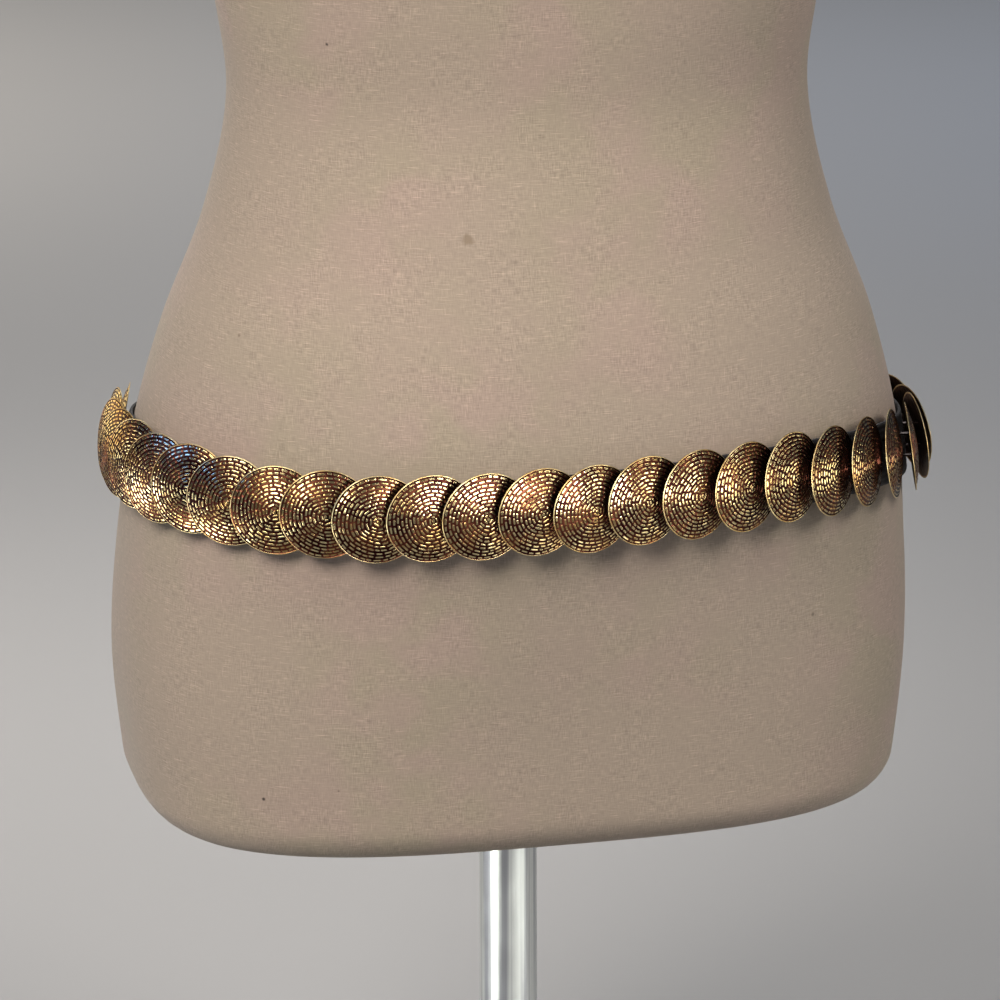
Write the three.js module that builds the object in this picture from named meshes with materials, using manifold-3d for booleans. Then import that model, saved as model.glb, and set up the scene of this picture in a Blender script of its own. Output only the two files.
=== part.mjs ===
// Coin belt on a dress form: domed metal discs lie like roof tiles on a black stretch band,
// and the band is worn round the hips of a padded, limbless dress form on a pole and a round base.
// Lengths are in millimetres and angles in radians, +Z is up, and the form faces -Y.
// The origin is on the floor, on the axis of the pole.

import * as THREE from 'three';
import { mergeVertices } from 'three/addons/utils/BufferGeometryUtils.js';
import Module from 'manifold-3d';

// Clearances and steps
const SEAM_GAP = 0.3;
const WELD_DISTANCE = 1e-4;
const BAND_CLEARANCE = 0.9; // room for the clinched prongs between the band and the form

// Stand
const POLE_DIAMETER = 25.4;
const POLE_SHOWN = 260;
const POLE_SEGMENTS = 32;
const SOCKET_DEPTH = 80;
const BASE_RADIUS = 190;
const BASE_THICKNESS = 8;
const BASE_BEVEL = 3;
const BASE_SEGMENTS = 56;
const COLLAR_RADIUS = 29;
const COLLAR_HEIGHT = 24;
const COLLAR_ROUND = 4;

// Dress form, from its flat underside to the top of its neck
const FORM_BOTTOM = BASE_THICKNESS + POLE_SHOWN;
const FORM_EDGE_RADIUS = 16;
const FORM_EDGE_STEPS = 4;
const FORM_COLUMNS = 48;
const FORM_ROW_PITCH = 25;
const FORM_SECTIONS = [
  { height: 0, halfWidth: 164.5, front: 110, back: 113, centreY: 2, squareness: 3 },
  { height: 60, halfWidth: 170.5, front: 116, back: 118, centreY: -1, squareness: 2.75 },
  { height: 110, halfWidth: 169.5, front: 119, back: 121, centreY: -8, squareness: 2.4 },
  { height: 163, halfWidth: 164, front: 121, back: 122, centreY: -17, squareness: 2.2 },
  { height: 215, halfWidth: 150.5, front: 111, back: 112, centreY: -21, squareness: 2.15 },
  { height: 262, halfWidth: 132.5, front: 99, back: 98, centreY: -23, squareness: 2.1 },
  { height: 312, halfWidth: 122, front: 91, back: 89, centreY: -24, squareness: 2.1 },
  { height: 352, halfWidth: 126, front: 95, back: 90, centreY: -24, squareness: 2.1 },
  { height: 430, halfWidth: 139, front: 108, back: 96, centreY: -21, squareness: 2.15 },
  { height: 500, halfWidth: 148, front: 127, back: 103, centreY: -17, squareness: 2.2 },
  { height: 540, halfWidth: 150, front: 125, back: 106, centreY: -14, squareness: 2.2 },
  { height: 600, halfWidth: 155, front: 103, back: 106, centreY: -9, squareness: 2.25 },
  { height: 655, halfWidth: 160, front: 82, back: 96, centreY: -5, squareness: 2.25 },
  { height: 690, halfWidth: 155, front: 70, back: 83, centreY: -3, squareness: 2.15 },
  { height: 716, halfWidth: 132, front: 61, back: 72, centreY: -1, squareness: 2.1 },
  { height: 738, halfWidth: 101, front: 56, back: 63, centreY: 0, squareness: 2 },
  { height: 760, halfWidth: 73, front: 52, back: 56, centreY: 0, squareness: 2 },
  { height: 785, halfWidth: 59, front: 50, back: 51, centreY: 0, squareness: 2 },
  { height: 825, halfWidth: 55, front: 50, back: 50, centreY: 0, squareness: 2 },
];
const NECK_CAP_THICKNESS = 12;
const NECK_CAP_ROUND = 4;

// Stretch band, round the hips
const BELT_HEIGHT = 155.7; // above the underside of the form, on average
const BELT_COURSE = [ // rises and dips on the way round, each as a wave of the angle
  { waves: 1, sine: -2.1, cosine: 8.3 },
  { waves: 2, sine: 0, cosine: -1.5 },
  { waves: 3, sine: 3, cosine: 0 },
];
const BAND_WIDTH = 27;
const BAND_THICKNESS = 1.5;
const BAND_STATIONS = 90;
const PATH_SAMPLES = 720;
const TANGENT_STEP = 0.01;

// Domed discs
const DISC_COUNT = 43;
const DISC_RADIUS = 18.8;
const DISC_RISE = 3.1; // from the plane of the rim to the top of the dome
const DISC_WALL = 1;
const DISC_SEGMENTS = 24;
const DISC_TILT = THREE.MathUtils.degToRad(15.3);
const DISC_LIFT = 4.9; // from the band to the middle of the rim plane
const DISC_PHASE = -41; // arc from the middle of the front to the middle of one disc
const DISC_DRIFT = [ // how far the discs are pushed along the stretched band, as waves of their arc
  { waves: 1, sine: -7.4, cosine: -5.5 },
  { waves: 2, sine: 3.5, cosine: 0 },
];
const DISC_RAISE = 0.8; // from the middle of the band up to the line of the discs
const DISC_WANDER = 0.5; // how far a disc sits above or below that line
const WANDER_TURN = 2.4; // from one disc to the next, so that the wander looks irregular
const OUTER_RINGS = [0.72, 0.38]; // shares of the radius where the dome's facets meet
const INNER_RINGS = [0.6];
const PRONG_SPACING = 10;
const PRONG_SHIFT = 2.5; // to the right of the middle of the disc, clear of the disc below
const PRONG_WIDTH = 2;
const PRONG_THICKNESS = 0.8;

// Finishes
const FINISHES = {
  linen: { color: 0xb3a08c, roughness: 0.92, metalness: 0 },
  elastic: { color: 0x17151a, roughness: 0.8, metalness: 0 },
  antiqueGold: { color: 0xb98d4a, roughness: 0.3, metalness: 1 },
  chrome: { color: 0xc9ccce, roughness: 0.15, metalness: 1 },
  paintedSteel: { color: 0x3a3b3d, roughness: 0.45, metalness: 0.3 },
  wood: { color: 0x7d5a3a, roughness: 0.5, metalness: 0 },
};

const wasm = await Module();
wasm.setup();

// A power that keeps the sign of its base, for the corners of a squared ellipse.
function signedPower(value, exponent) {
  return Math.sign(value) * Math.abs(value) ** exponent;
}

// The form's section at a height, eased smoothly between the rows of the table.
function sectionAt(height) {
  const rows = FORM_SECTIONS;
  const clamped = THREE.MathUtils.clamp(height, rows[0].height, rows.at(-1).height);
  let i = 0;
  while (i < rows.length - 2 && clamped > rows[i + 1].height) {
    i += 1;
  }
  const span = rows[i + 1].height - rows[i].height;
  const u = (clamped - rows[i].height) / span;
  const section = {};
  for (const column of ['halfWidth', 'front', 'back', 'centreY', 'squareness']) {
    const rise = span * slopeAt(i, column);
    const nextRise = span * slopeAt(i + 1, column);
    const a = rows[i][column];
    const b = rows[i + 1][column];
    section[column] = (2 * u ** 3 - 3 * u ** 2 + 1) * a + (u ** 3 - 2 * u ** 2 + u) * rise
      + (3 * u ** 2 - 2 * u ** 3) * b + (u ** 3 - u ** 2) * nextRise;
  }
  return section;
}

// The slope of one column at a row: the mean of the slopes on both sides of it.
function slopeAt(index, column) {
  const before = FORM_SECTIONS[Math.max(index - 1, 0)];
  const after = FORM_SECTIONS[Math.min(index + 1, FORM_SECTIONS.length - 1)];
  return (after[column] - before[column]) / (after.height - before.height);
}

// A point of the form's skin moved outwards, level, by an offset. Angle 0 is the front, and +X follows.
function skinPoint(angle, height, offset) {
  const { halfWidth, front, back, centreY, squareness } = sectionAt(height);
  const depth = Math.cos(angle) > 0 ? front : back;
  const x = halfWidth * signedPower(Math.sin(angle), 2 / squareness);
  const y = -depth * signedPower(Math.cos(angle), 2 / squareness);
  const outward = new THREE.Vector3(
    signedPower(x / halfWidth, squareness - 1) / halfWidth,
    signedPower(y / depth, squareness - 1) / depth,
    0,
  ).normalize();
  return new THREE.Vector3(x, y + centreY, FORM_BOTTOM + height).addScaledVector(outward, offset);
}

// A closed body from rings with equal numbers of points, with flat ends.
function loft(rings) {
  const count = rings[0].length;
  const points = rings.flat();
  const indices = [];
  for (let row = 0; row < rings.length - 1; row += 1) {
    for (let i = 0; i < count; i += 1) {
      const a = row * count + i;
      const b = row * count + (i + 1) % count;
      indices.push(a, b, b + count, a, b + count, a + count);
    }
  }
  for (const [row, faceDown] of [[0, true], [rings.length - 1, false]]) {
    const middle = new THREE.Vector3();
    rings[row].forEach((point) => middle.addScaledVector(point, 1 / count));
    const centre = points.push(middle) - 1;
    for (let i = 0; i < count; i += 1) {
      const a = row * count + i;
      const b = row * count + (i + 1) % count;
      indices.push(...(faceDown ? [centre, b, a] : [centre, a, b]));
    }
  }
  return indexedGeometry(points, indices);
}

// A closed hoop from a list of closed profiles, each joined to the next and the last to the first.
function hoop(profiles) {
  const count = profiles[0].length;
  const points = profiles.flat();
  const indices = [];
  for (let row = 0; row < profiles.length; row += 1) {
    const next = (row + 1) % profiles.length;
    for (let i = 0; i < count; i += 1) {
      const j = (i + 1) % count;
      indices.push(row * count + i, next * count + i, next * count + j);
      indices.push(row * count + i, next * count + j, row * count + j);
    }
  }
  return indexedGeometry(points, indices);
}

function indexedGeometry(points, indices) {
  const geometry = new THREE.BufferGeometry().setFromPoints(points);
  geometry.setIndex(indices);
  geometry.computeVertexNormals();
  return geometry;
}

function solidFrom(geometry) {
  const bare = geometry.clone();
  bare.deleteAttribute('normal');
  bare.deleteAttribute('uv');
  const merged = mergeVertices(bare, WELD_DISTANCE);
  const mesh = new wasm.Mesh({
    numProp: 3,
    vertProperties: new Float32Array(merged.attributes.position.array),
    triVerts: new Uint32Array(merged.index.array),
  });
  return new wasm.Manifold(mesh);
}

function geometryFrom(solid) {
  const mesh = solid.getMesh();
  const geometry = new THREE.BufferGeometry();
  geometry.setAttribute('position', new THREE.Float32BufferAttribute(mesh.vertProperties, 3));
  geometry.setIndex(Array.from(mesh.triVerts));
  geometry.computeVertexNormals();
  return geometry;
}

function namedMesh(name, geometry, finish) {
  const mesh = new THREE.Mesh(geometry, new THREE.MeshStandardMaterial(FINISHES[finish]));
  mesh.name = name;
  return mesh;
}

// A round body about +Z from a profile of [radius, height] pairs.
function turned(profile, segments) {
  const points = profile.map(([radius, height]) => new THREE.Vector2(radius, height));
  return new THREE.LatheGeometry(points, segments).rotateX(Math.PI / 2);
}

// The padded form, with a socket in its underside for the pole.
function dressForm() {
  const top = FORM_SECTIONS.at(-1).height;
  const rows = [];
  for (let step = 0; step < FORM_EDGE_STEPS; step += 1) {
    const turn = (step / FORM_EDGE_STEPS) * Math.PI / 2;
    rows.push({
      height: FORM_EDGE_RADIUS * (1 - Math.sin(turn)),
      inset: FORM_EDGE_RADIUS * (1 - Math.cos(turn)),
    });
  }
  rows.push({ height: 0, inset: FORM_EDGE_RADIUS });
  rows.reverse();
  const rowCount = Math.round((top - FORM_EDGE_RADIUS) / FORM_ROW_PITCH);
  for (let row = 1; row <= rowCount; row += 1) {
    const share = row / rowCount;
    rows.push({ height: THREE.MathUtils.lerp(FORM_EDGE_RADIUS, top, share), inset: 0 });
  }
  const rings = rows.map(({ height, inset }) => ringOfSkin(height, -inset));
  const socketRadius = POLE_DIAMETER / 2 + SEAM_GAP;
  const socket = new THREE.CylinderGeometry(socketRadius, socketRadius, 2 * SOCKET_DEPTH, POLE_SEGMENTS);
  socket.rotateX(Math.PI / 2).translate(0, 0, FORM_BOTTOM);
  const body = solidFrom(loft(rings)).subtract(solidFrom(socket));
  return namedMesh('dress_form', geometryFrom(body), 'linen');
}

function ringOfSkin(height, offset) {
  const ring = [];
  for (let i = 0; i < FORM_COLUMNS; i += 1) {
    ring.push(skinPoint((i / FORM_COLUMNS) * 2 * Math.PI, height, offset));
  }
  return ring;
}

// A plain cap on the cut end of the neck.
function neckCap() {
  const neck = FORM_SECTIONS.at(-1);
  const profile = [
    [0, 0],
    [neck.front, 0],
    [neck.front, NECK_CAP_THICKNESS - NECK_CAP_ROUND],
    [neck.front - NECK_CAP_ROUND, NECK_CAP_THICKNESS],
    [0, NECK_CAP_THICKNESS],
  ];
  const cap = namedMesh('neck_cap', turned(profile, FORM_COLUMNS), 'wood');
  cap.scale.x = neck.halfWidth / neck.front;
  cap.position.set(0, neck.centreY, FORM_BOTTOM + neck.height + SEAM_GAP);
  return cap;
}

// The sum of a table's waves at an angle.
function sumOfWaves(table, angle) {
  const heights = table.map(({ waves, sine, cosine }) => (
    sine * Math.sin(waves * angle) + cosine * Math.cos(waves * angle)
  ));
  return heights.reduce((total, height) => total + height, 0);
}

// The height of the middle of the band, which isn't quite level.
function beltHeight(angle) {
  return BELT_HEIGHT + sumOfWaves(BELT_COURSE, angle);
}

// A point of the band's outer face, at a share of its width above or below its middle.
function bandPoint(angle, share) {
  return skinPoint(angle, beltHeight(angle) + share * BAND_WIDTH, BAND_CLEARANCE + BAND_THICKNESS);
}

// The middle of the band's outer face: samples with their arc length from the middle of the front.
function beltPath() {
  const samples = [];
  let arc = 0;
  for (let i = 0; i <= PATH_SAMPLES; i += 1) {
    const angle = (i / PATH_SAMPLES) * 2 * Math.PI;
    const point = bandPoint(angle, 0);
    if (i > 0) {
      arc += point.distanceTo(samples.at(-1).point);
    }
    samples.push({ angle, point, arc });
  }
  return samples;
}

// The angle at which the path has run a given arc.
function angleAtArc(path, arc) {
  const length = path.at(-1).arc;
  const wanted = THREE.MathUtils.euclideanModulo(arc, length);
  const i = path.findIndex((sample) => sample.arc >= wanted);
  if (i < 1) {
    return path[0].angle;
  }
  const share = (wanted - path[i - 1].arc) / (path[i].arc - path[i - 1].arc);
  return THREE.MathUtils.lerp(path[i - 1].angle, path[i].angle, share);
}

// The stretch band: a strip that follows the form's skin, a little clear of it.
function stretchBand(path) {
  const length = path.at(-1).arc;
  const shares = [-0.5, 0, 0.5];
  const profiles = [];
  for (let i = 0; i < BAND_STATIONS; i += 1) {
    const angle = angleAtArc(path, (i / BAND_STATIONS) * length);
    const outer = shares.map((share) => bandPoint(angle, share));
    const inner = shares.map((share) => (
      skinPoint(angle, beltHeight(angle) + share * BAND_WIDTH, BAND_CLEARANCE)
    ));
    profiles.push([...outer, ...inner.reverse()]);
  }
  return namedMesh('stretch_band', hoop(profiles), 'elastic');
}

// One disc about +Z: a thin dome with an open back, and two prongs that reach down to the band.
function domedDisc() {
  const sphere = (DISC_RADIUS ** 2 + DISC_RISE ** 2) / (2 * DISC_RISE);
  const domeHeight = (radius, drop) => (
    Math.sqrt((sphere - drop) ** 2 - radius ** 2) - (sphere - DISC_RISE)
  );
  const innerRadius = DISC_RADIUS - DISC_WALL;
  const profile = [
    [0, domeHeight(0, DISC_WALL)],
    ...INNER_RINGS.map((share) => [innerRadius * share, domeHeight(innerRadius * share, DISC_WALL)]),
    [innerRadius, 0],
    [DISC_RADIUS, 0],
    ...OUTER_RINGS.map((share) => [DISC_RADIUS * share, domeHeight(DISC_RADIUS * share, 0)]),
    [0, DISC_RISE],
  ];
  let body = solidFrom(turned(profile, DISC_SEGMENTS));
  const slope = Math.tan(DISC_TILT);
  const prongBottom = (PRONG_SHIFT + PRONG_WIDTH / 2) * slope - (DISC_LIFT - SEAM_GAP) / Math.cos(DISC_TILT);
  const prongTop = domeHeight(Math.hypot(PRONG_SHIFT, PRONG_SPACING / 2), DISC_WALL / 2);
  for (const side of [-1, 1]) {
    const prong = new THREE.BoxGeometry(PRONG_WIDTH, PRONG_THICKNESS, prongTop - prongBottom);
    prong.translate(PRONG_SHIFT, side * PRONG_SPACING / 2, (prongTop + prongBottom) / 2);
    body = body.add(solidFrom(prong));
  }
  return geometryFrom(body);
}

// Where the middle of a disc lies along the path: evenly spaced, but for the drift.
function discArc(index, length) {
  const even = DISC_PHASE + (index / DISC_COUNT) * length;
  const angle = (even / length) * 2 * Math.PI;
  return even + sumOfWaves(DISC_DRIFT, angle) - sumOfWaves(DISC_DRIFT, 0);
}

// The discs, from the band outwards: each one's left edge is raised over the disc on its left.
function discs(path) {
  const length = path.at(-1).arc;
  const geometry = domedDisc();
  const meshes = [];
  for (let i = 0; i < DISC_COUNT; i += 1) {
    const angle = angleAtArc(path, discArc(i, length));
    const up = bandPoint(angle, 0.5).sub(bandPoint(angle, -0.5)).normalize();
    const along = bandPoint(angle + TANGENT_STEP, 0).sub(bandPoint(angle - TANGENT_STEP, 0));
    along.addScaledVector(up, -along.dot(up)).normalize();
    const outward = new THREE.Vector3().crossVectors(along, up);
    const axis = outward.clone().multiplyScalar(Math.cos(DISC_TILT));
    axis.addScaledVector(along, Math.sin(DISC_TILT));
    const right = new THREE.Vector3().crossVectors(up, axis);
    const number = String(i + 1).padStart(2, '0');
    const disc = namedMesh(`disc_${number}`, geometry, 'antiqueGold');
    disc.quaternion.setFromRotationMatrix(new THREE.Matrix4().makeBasis(right, up, axis));
    disc.position.copy(bandPoint(angle, 0)).addScaledVector(outward, DISC_LIFT);
    disc.position.addScaledVector(up, DISC_RAISE + DISC_WANDER * Math.sin(i * WANDER_TURN));
    meshes.push(disc);
  }
  return meshes;
}

function pole() {
  const bottom = BASE_THICKNESS + SEAM_GAP;
  const top = FORM_BOTTOM + SOCKET_DEPTH - SEAM_GAP;
  const radius = POLE_DIAMETER / 2;
  const shape = new THREE.CylinderGeometry(radius, radius, top - bottom, POLE_SEGMENTS).rotateX(Math.PI / 2);
  const mesh = namedMesh('pole', shape, 'chrome');
  mesh.position.z = (bottom + top) / 2;
  return mesh;
}

function poleCollar() {
  const bore = POLE_DIAMETER / 2 + SEAM_GAP;
  const profile = [
    [bore, 0],
    [COLLAR_RADIUS, 0],
    [COLLAR_RADIUS, COLLAR_HEIGHT - COLLAR_ROUND],
    [COLLAR_RADIUS - COLLAR_ROUND, COLLAR_HEIGHT],
    [bore, COLLAR_HEIGHT],
    [bore, 0],
  ];
  const mesh = namedMesh('pole_collar', turned(profile, POLE_SEGMENTS), 'chrome');
  mesh.position.z = BASE_THICKNESS + SEAM_GAP;
  return mesh;
}

function basePlate() {
  const profile = [
    [0, 0],
    [BASE_RADIUS, 0],
    [BASE_RADIUS, BASE_THICKNESS - BASE_BEVEL],
    [BASE_RADIUS - BASE_BEVEL, BASE_THICKNESS],
    [0, BASE_THICKNESS],
  ];
  return namedMesh('base_plate', turned(profile, BASE_SEGMENTS), 'paintedSteel');
}

const path = beltPath();
const belt = new THREE.Group();
belt.add(stretchBand(path), ...discs(path));
const stand = new THREE.Group();
stand.add(basePlate(), poleCollar(), pole());
const form = new THREE.Group();
form.add(dressForm(), neckCap());
const part = new THREE.Group();
part.add(belt, form, stand);

export default part;
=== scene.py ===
"""A coin belt on a dress form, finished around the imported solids.

Domed, stamped metal discs lie like roof tiles on a black stretch band, and the band is worn
round the hips of a linen-covered form on a pole. Lengths are in metres and +Z is up, the form
faces -Y, and the origin is on the floor, on the axis of the pole.
"""

import math

import bpy
import numpy as np
from mathutils import Euler, Matrix, Vector


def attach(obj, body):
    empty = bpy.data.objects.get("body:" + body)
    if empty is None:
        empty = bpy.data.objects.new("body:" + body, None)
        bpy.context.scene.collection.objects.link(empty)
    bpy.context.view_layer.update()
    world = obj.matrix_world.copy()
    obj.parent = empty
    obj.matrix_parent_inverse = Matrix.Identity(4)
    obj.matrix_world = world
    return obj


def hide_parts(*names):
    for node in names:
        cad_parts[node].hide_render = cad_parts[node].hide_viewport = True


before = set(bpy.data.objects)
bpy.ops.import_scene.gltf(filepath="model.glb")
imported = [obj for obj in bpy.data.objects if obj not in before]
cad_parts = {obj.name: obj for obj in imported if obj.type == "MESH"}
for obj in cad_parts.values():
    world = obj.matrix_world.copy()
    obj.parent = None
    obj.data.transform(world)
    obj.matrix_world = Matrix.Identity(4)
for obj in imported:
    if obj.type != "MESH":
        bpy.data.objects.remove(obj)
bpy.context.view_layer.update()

MM = 0.001
IMAGE_SIZE = 1000  # pixels, both ways
SEED = 41

# Stand
POLE_RADIUS = 12.7 * MM
POLE_CHAMFER = 0.8 * MM
SOCKET_RADIUS = 13.0 * MM
SOCKET_DEPTH = 80 * MM
COLLAR_RADIUS = 29 * MM
COLLAR_HEIGHT = 24 * MM
COLLAR_ROUND = 4 * MM
COLLAR_FOOT_CHAMFER = 0.5 * MM
COLLAR_BORE_CHAMFER = 0.6 * MM
GROOVE_HEIGHTS = (6 * MM, 6.8 * MM, 7.6 * MM, 8.4 * MM)  # above the collar's foot
GROOVE_DEPTH = 0.8 * MM
BASE_RADIUS = 190 * MM
BASE_THICKNESS = 8 * MM
BASE_BEVEL = 3 * MM
BASE_FOOT_CHAMFER = 1 * MM
SEAM_GAP = 0.3 * MM
ROUND_STEPS = 8
COLLAR_ROUND_STEPS = 10
TURNED_COLUMNS = 96
BASE_COLUMNS = 160
# Rings along the shaft and on flat faces, as shares of the height or of the radius
SHAFT_SHARES = (0.25, 0.5, 0.75)
BASE_TOP_SHARES = (0.95, 0.8, 0.5, 0.2)
BASE_UNDER_SHARE = 0.6
CAP_TOP_SHARES = (0.8, 0.5, 0.2)
CAP_UNDER_SHARE = 0.5

# Dress form, from its flat underside to the top of its neck
FORM_BOTTOM = 268 * MM
FORM_EDGE_RADIUS = 16 * MM
FORM_EDGE_STEPS = 10
FORM_COLUMNS = 256
FORM_ROW_PITCH = 4.2 * MM
FORM_COLUMN_NAMES = ("height", "half_width", "front", "back", "centre_y", "squareness")
# Each row has these values, in millimetres but for the squareness
FORM_SECTIONS = (
    (0, 164.5, 110, 113, 2, 3),
    (60, 170.5, 116, 118, -1, 2.75),
    (110, 169.5, 119, 121, -8, 2.4),
    (163, 164, 121, 122, -17, 2.2),
    (215, 150.5, 111, 112, -21, 2.15),
    (262, 132.5, 99, 98, -23, 2.1),
    (312, 122, 91, 89, -24, 2.1),
    (352, 126, 95, 90, -24, 2.1),
    (430, 139, 108, 96, -21, 2.15),
    (500, 148, 127, 103, -17, 2.2),
    (540, 150, 125, 106, -14, 2.2),
    (600, 155, 103, 106, -9, 2.25),
    (655, 160, 82, 96, -5, 2.25),
    (690, 155, 70, 83, -3, 2.15),
    (716, 132, 61, 72, -1, 2.1),
    (738, 101, 56, 63, 0, 2),
    (760, 73, 52, 56, 0, 2),
    (785, 59, 50, 51, 0, 2),
    (825, 55, 50, 50, 0, 2),
)
RING_SAMPLES = 2881  # along a ring of the skin, to measure its length
LUMP_HEIGHT = 0.11 * MM
# The rings that close the form: shares of the way from the skin's lowest ring to the edge of the
# socket, and from the middle of the crown to the highest ring
UNDERSIDE_SHARES = (1.0, 0.7, 0.4, 0.15)
CROWN_SHARES = (0.66, 0.33)
# The cloth's run in metres, from the middle and edge of the socket's roof to the lowest ring of
# the skin, and from the highest ring to the middle of the crown
UNDERSIDE_RUN = (-0.30, -0.20, -0.12, -0.08, -0.05, -0.02)
CROWN_RUN = (0.02, 0.04, 0.06)
CLOTH_WRAP = 1.02  # where the cloth repeats, over the longest ring
NECK_CAP_THICKNESS = 12 * MM
NECK_CAP_ROUND = 4 * MM
NECK_CAP_FOOT_ROUND = 1 * MM
NECK_CAP_FOOT_STEPS = 4

# Stretch band, round the hips
BELT_HEIGHT = 155.7 * MM
# Each wave is its number of turns round the form, its sine and its cosine in millimetres
BELT_COURSE = ((1, -2.1, 8.3), (2, 0, -1.5), (3, 3, 0))
BAND_CLEARANCE = 0.9 * MM
BAND_WIDTH = 27 * MM
BAND_THICKNESS = 1.5 * MM
BAND_STATIONS = 280
BAND_RIBS = 12
BAND_RIB_STEPS = 4
BAND_RIB_DEPTH = 0.22 * MM
LAP_LENGTH = 26 * MM
LAP_RISE = 1.0 * MM
LAP_EASE = 1.5 * MM
YARN_PITCH = 0.7 * MM
PATH_SAMPLES = 720
TANGENT_STEP = 0.01

# Domed discs: their shape, their tilt and lift off the band, and their places along it
DISC_COUNT = 43
DISC_RADIUS = 18.8 * MM
DISC_RISE = 3.1 * MM
DISC_SHEET = 0.6 * MM
DISC_TILT = math.radians(15.3)
DISC_LIFT = 4.9 * MM
DISC_PHASE = -41 * MM
DISC_DRIFT = ((1, -7.4, -5.5), (2, 3.5, 0))  # waves, as in BELT_COURSE
DISC_RAISE = 0.8 * MM
DISC_WANDER = 0.5 * MM
WANDER_TURN = 2.4

# Stamped rings of dashes on a disc. A sway's wave is its number of turns, its phase and its share.
BOSS_RADIUS = 0.5 * MM
BOSS_COLUMNS = 8
RING_COUNT = 11
RING_START = 0.9 * MM
RING_END = 18.2 * MM
RING_SWAY = 0.3
SWAY_WAVES = ((3, 0.8, 1.0), (5, 2.1, 0.7))
DASH_CELL = 3.1 * MM
DASH_LEAST_COUNT = 4
DASH_DEPTH = 0.30 * MM
DASH_RISES = (0.66, 1.0)
DASH_BORDER_JITTER = 0.26
DASH_SHIFT = 0.09
DASH_SLOPE = 0.4
DASH_LEAN = 0.07
# One dash, along it and across it: places in its cell, its rise there, and how worn it is
DASH_STEPS = np.array([0.0, 0.13, 0.27, 0.73, 0.87])
DASH_ALONG = np.array([0.0, 0.85, 1.0, 1.0, 0.85])
WEAR_ALONG = np.array([0.0, 0.6, 1.0, 1.0, 0.6])
DASH_ROWS = np.array([-0.33, -0.25, -0.16, 0.16, 0.25, 0.33])
DASH_ACROSS = np.array([0.0, 0.84, 1.0, 1.0, 0.84, 0.0])
WEAR_ACROSS = np.array([0.0, 0.5, 1.0, 1.0, 0.5, 0.0])
WEAR_CROWN = 1.0
WEAR_BOSS = 0.9
# The rolled rim: radius and height in millimetres and wear, over the dome and over the rim's plane
RIM_COLUMNS = 96
LIP_OVER_DOME = (
    (18.20, -0.20, 0.1),
    (18.32, 0.04, 0.35),
    (18.42, 0.10, 0.9),
    (18.54, 0.12, 1.3),
    (18.67, 0.07, 1.3),
)
LIP_OVER_PLANE = (
    (18.77, 0.01, 1.3),
    (18.80, -0.08, 1.3),
    (18.72, -0.14, 1.3),
    (18.10, -0.10, 1.1),
)
BACK_RADIUS = 18.1 * MM
BACK_SHARES = (0.985, 0.93, 0.82, 0.66, 0.48, 0.28, 0.10)

# Prongs that hold a disc on the band: down through it, bent, and clinched along its inner face
PRONG_SPACING = 10 * MM
PRONG_SHIFT = 2.5 * MM
PRONG_TOP = 1.3 * MM
PRONG_WIDTH = 1.6 * MM
PRONG_THICKNESS = 0.45 * MM
PRONG_TAIL = 3.2 * MM
PRONG_CLEARANCE = 0.28 * MM
PRONG_BEND = 0.5 * MM
PRONG_BEND_DEGREES = (25, 50, 75)
PRONG_BEND_START = 0.4  # straight ends of the bend, as shares of its radius
PRONG_BEND_END = 2.2
PRONG_TIP_RISE = 0.12 * MM
PRONG_TIP_WIDTH = 0.55
CLINCH_START = 4  # the first point of the middle line coloured as bare metal; before it, on the leg, painted shade

# Camera, fitted to the photograph
AIM = Vector((0, -17 * MM, 431 * MM))
AIM_PIXEL = (515.3, 423.9)
CAMERA_AZIMUTH = math.radians(-13)
CAMERA_ELEVATION = math.radians(15.9)
CAMERA_DISTANCE = 2.2
CAMERA_ROLL = math.radians(0.2)
CAMERA_CLIP = (0.05, 60.0)
SENSOR = 36.0
FOCAL_PIXELS = 5162

# Floor and surroundings
FLOOR_RADII = (0.5, 1.5, 4.0, 14.0)
FLOOR_COLUMNS = 96
WORLD_COLOUR = (0.74, 0.82, 0.96)
WORLD_STRENGTH = 0.11


# Form and belt geometry, as in the solids

def signed_power(value, exponent):
    """A power that keeps the sign of its base, for the corners of a squared ellipse."""
    return np.sign(value) * np.abs(value) ** exponent


def section_at(height):
    """The form's section at each height, eased smoothly between the rows of the table."""
    rows = np.array(FORM_SECTIONS, float)
    rows[:, :5] *= MM
    index = np.arange(len(rows))
    step = rows[np.minimum(index + 1, len(rows) - 1)] - rows[np.maximum(index - 1, 0)]
    slopes = step[:, 1:] / step[:, :1]
    heights = rows[:, 0]
    clamped = np.clip(height, heights[0], heights[-1])
    i = np.clip(np.searchsorted(heights, clamped) - 1, 0, len(rows) - 2)
    span = (heights[i + 1] - heights[i])[..., None]
    u = (clamped - heights[i])[..., None] / span
    value = (
        (2 * u**3 - 3 * u**2 + 1) * rows[i, 1:]
        + (u**3 - 2 * u**2 + u) * span * slopes[i]
        + (3 * u**2 - 2 * u**3) * rows[i + 1, 1:]
        + (u**3 - u**2) * span * slopes[i + 1]
    )
    return dict(zip(FORM_COLUMN_NAMES[1:], np.moveaxis(value, -1, 0)))


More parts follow.
